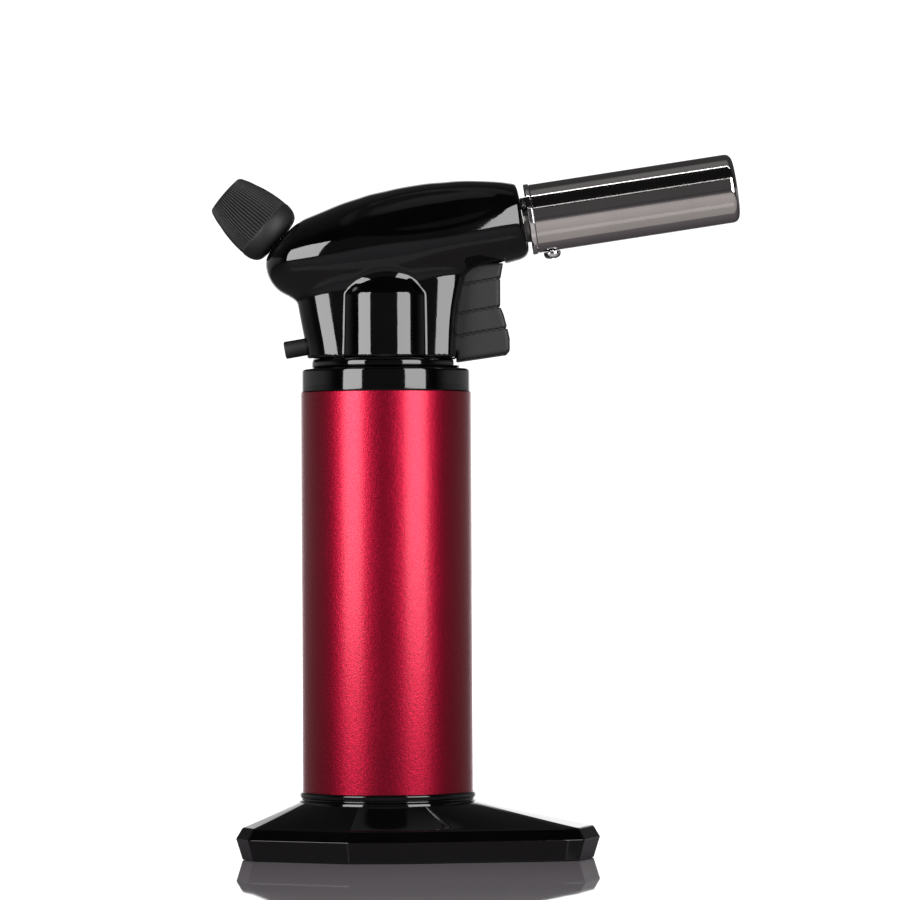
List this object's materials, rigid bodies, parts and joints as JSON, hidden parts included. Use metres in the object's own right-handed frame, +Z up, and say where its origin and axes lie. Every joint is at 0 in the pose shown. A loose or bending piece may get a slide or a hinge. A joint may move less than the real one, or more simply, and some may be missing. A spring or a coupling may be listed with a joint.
{
  "type": "butane torch",
  "caption": "Table-top butane torch for jewellery soldering, with a gloss black foot and head, red sleeve, push trigger, lock button, flame knob and tilted burner barrel.",
  "frame": {"origin": "on the tank's axis, at the underside of the rubber pad that the torch stands on", "axes": "+X towards the burner's mouth, +Z up along the tank, +Y to the torch's left seen from behind the knob"},
  "size_m": [0.1401, 0.06, 0.1859],
  "materials": {
    "pad_rubber": "matte moulded rubber",
    "grey_plastic": "matte moulded nylon",
    "screw_steel": "zinc plated, turned",
    "gloss_black": "polished gloss black ABS",
    "red_anodised": "bead-blasted, red anodised satin",
    "tank_nylon": "natural translucent nylon",
    "seal_rubber": "smooth nitrile rubber",
    "brass": "turned brass",
    "stem_steel": "ground steel",
    "spring_steel": "drawn spring wire",
    "lever_steel": "pressed, zinc plated",
    "hose_clear": "translucent gas tube",
    "matte_black": "fine matte texture",
    "piezo_case": "natural acetal",
    "wire_cover": "silicone wire cover",
    "dark_chrome": "polished dark chrome plate",
    "bright_chrome": "polished chrome plate",
    "burner_steel": "heat-darkened steel",
    "burner_brass": "heat-tinted brass",
    "ceramic": "unglazed alumina"
  },
  "bodies": {
    "base": {"non_slip_pad": "pad_rubber", "base_plate": "grey_plastic", "base_screws": "screw_steel", "foot_shell": "gloss_black", "body_sleeve": "red_anodised", "fuel_tank": "tank_nylon", "tank_cap": "grey_plastic", "tank_seal": "seal_rubber", "refill_valve_body": "brass", "refill_valve_spring": "spring_steel", "refill_seal": "seal_rubber", "upper_collar": "gloss_black", "gas_valve_body": "brass", "gas_valve_spring": "spring_steel", "lever_pin": "stem_steel", "gas_hose": "hose_clear", "jet_hose": "hose_clear", "housing_left": "gloss_black", "housing_right": "gloss_black", "housing_screws": "screw_steel", "trigger_spring": "spring_steel", "piezo_body": "piezo_case", "ignition_wire": "wire_cover", "lock_spring": "spring_steel", "regulator_body": "brass", "gland_nut": "brass", "jet_holder": "brass", "gas_jet": "brass", "mixing_tube": "burner_steel", "shroud_flange": "bright_chrome", "burner_shroud": "dark_chrome", "flame_tube": "burner_steel", "flame_holder": "burner_brass", "electrode": "stem_steel", "electrode_insulator": "ceramic", "shroud_screw": "bright_chrome"},
    "trigger": {"trigger": "matte_black", "piezo_plunger": "piezo_case"},
    "gas_lever": {"gas_lever": "lever_steel"},
    "gas_valve_stem": {"gas_valve_stem": "stem_steel"},
    "lock": {"lock_button": "matte_black"},
    "knob": {"flame_knob": "matte_black", "regulator_spindle": "stem_steel", "regulator_needle": "stem_steel"},
    "refill_stem": {"refill_valve_stem": "stem_steel"}
  },
  "joints": [
    {"name": "trigger_slide", "type": "slide", "parent": "base", "child": "trigger", "axis": [-0.9863, 0, -0.165], "range_m": [0, 0.004], "stiffness_N_per_m": 1500, "springref_m": -0.001, "deforming": ["trigger_spring"]},
    {"name": "gas_lever_pivot", "type": "hinge", "parent": "base", "child": "gas_lever", "pos_m": [-0.005, 0, 0.131], "axis": [0, -1, 0], "range_deg": [0, 13.8]},
    {"name": "gas_valve_slide", "type": "slide", "parent": "base", "child": "gas_valve_stem", "axis": [0, 0, 1], "range_m": [0, 0.0018], "stiffness_N_per_m": 400, "springref_m": -0.0005, "deforming": ["gas_valve_spring"]},
    {"name": "lock_slide", "type": "slide", "parent": "base", "child": "lock", "axis": [0.9863, 0, 0.165], "range_m": [0, 0.003], "stiffness_N_per_m": 500, "springref_m": -0.001, "deforming": ["lock_spring"]},
    {"name": "knob_spin", "type": "hinge", "parent": "base", "child": "knob", "pos_m": [-0.0281, 0, 0.1634], "axis": [-0.753, 0, 0.658], "range_deg": [0, 270]},
    {"name": "refill_valve_slide", "type": "slide", "parent": "base", "child": "refill_stem", "axis": [0, 0, 1], "range_m": [0, 0.0015], "stiffness_N_per_m": 400, "springref_m": -0.001, "deforming": ["refill_valve_spring"]}
  ],
  "couplings": [
    {"joint": "gas_lever_pivot", "follows": "trigger_slide", "rad_per_m": 60},
    {"joint": "gas_valve_slide", "follows": "trigger_slide", "ratio": 0.45}
  ]
}
